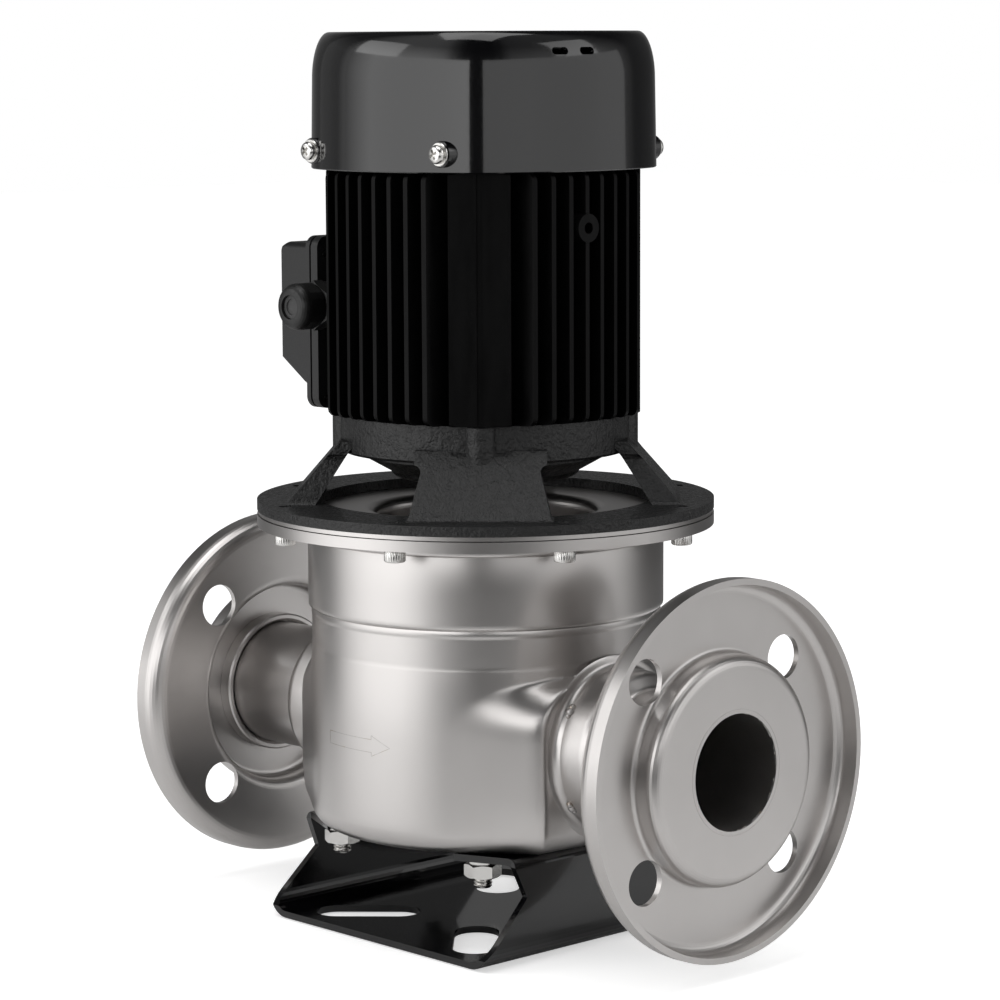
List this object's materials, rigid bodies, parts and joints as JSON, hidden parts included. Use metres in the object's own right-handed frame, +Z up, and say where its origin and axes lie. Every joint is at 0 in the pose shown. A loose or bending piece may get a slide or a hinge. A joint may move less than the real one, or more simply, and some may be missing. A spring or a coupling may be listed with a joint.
{
  "type": "circulation pump",
  "caption": "Vertical in-line circulation pump with pressed steel casing, loose base, cast motor bracket and fan-cooled motor.",
  "frame": {"origin": "on the floor below the motor axis, midway between the port flanges", "axes": "+Z up along the motor axis, +X along the flow from the suction flange to the discharge flange, -Y towards the side with the cable gland"},
  "size_m": [0.28, 0.1872, 0.3654],
  "materials": {
    "black_sheet": "gloss",
    "bright_steel": "bright zinc plated",
    "stainless": "satin stainless",
    "rubber": "matt",
    "bronze": "machined",
    "ceramic": "polished ceramic",
    "carbon": "carbon graphite",
    "shaft_steel": "ground",
    "black_casting": "rough, painted black",
    "bearing_steel": "polished",
    "cage_steel": "pressed steel",
    "black_aluminium": "satin black",
    "core_steel": "stacked sheet",
    "winding_copper": "varnished",
    "cast_aluminium": "die cast",
    "fan_plastic": "moulded",
    "box_black": "fine texture",
    "block_plastic": "moulded",
    "gland_plastic": "moulded",
    "grey_rubber": "matt"
  },
  "bodies": {
    "housing": {"base_plate": "black_sheet", "base_studs": "bright_steel", "base_nuts": "bright_steel", "base_washers": "bright_steel", "casing": "stainless", "casing_ring": "stainless", "casing_oring": "rubber", "casing_cover": "stainless", "ring_screws_set": "bright_steel", "inner_casing": "stainless", "liner_ring": "bronze", "seal_seat": "ceramic", "suction_neck": "stainless", "suction_tube": "stainless", "suction_flange": "stainless", "suction_collar": "stainless", "discharge_neck": "stainless", "discharge_tube": "stainless", "discharge_flange": "stainless", "discharge_collar": "stainless", "motor_bracket": "black_casting", "front_bearing_outer": "bearing_steel", "rear_bearing_outer": "bearing_steel", "preload_spring": "bright_steel", "motor_frame": "black_aluminium", "stator_core": "core_steel", "stator_windings": "winding_copper", "rear_end_shield": "cast_aluminium", "tie_bolts": "bright_steel", "fan_cover": "black_sheet", "fan_cover_screws": "bright_steel", "terminal_base": "box_black", "terminal_gasket": "rubber", "terminal_lid": "box_black", "terminal_lid_screws": "bright_steel", "terminal_block": "block_plastic", "gland_body": "gland_plastic", "gland_nut": "gland_plastic", "gland_seal": "grey_rubber"},
    "rotor": {"shaft": "shaft_steel", "impeller": "stainless", "impeller_nut": "bright_steel", "impeller_key": "bright_steel", "seal_face": "carbon", "seal_spring": "bright_steel", "seal_holder": "stainless", "shaft_slinger": "rubber", "front_bearing_inner": "bearing_steel", "rear_bearing_inner": "bearing_steel", "rotor_core": "core_steel", "rotor_end_rings": "cast_aluminium", "cooling_fan": "fan_plastic", "fan_clip": "bright_steel"},
    "front_cage": {"front_bearing_cage": "cage_steel", "front_bearing_balls": "bearing_steel"},
    "rear_cage": {"rear_bearing_cage": "cage_steel", "rear_bearing_balls": "bearing_steel"}
  },
  "joints": [
    {"name": "rotor_spin", "type": "hinge", "parent": "housing", "child": "rotor", "pos_m": [0, 0, 0.2], "axis": [0, 0, 1], "continuous": true},
    {"name": "front_cage_orbit", "type": "hinge", "parent": "housing", "child": "front_cage", "pos_m": [0, 0, 0.2], "axis": [0, 0, 1], "continuous": true},
    {"name": "rear_cage_orbit", "type": "hinge", "parent": "housing", "child": "rear_cage", "pos_m": [0, 0, 0.3], "axis": [0, 0, 1], "continuous": true}
  ],
  "couplings": [
    {"joint": "front_cage_orbit", "follows": "rotor_spin", "ratio": 0.38702},
    {"joint": "rear_cage_orbit", "follows": "rotor_spin", "ratio": 0.388}
  ]
}
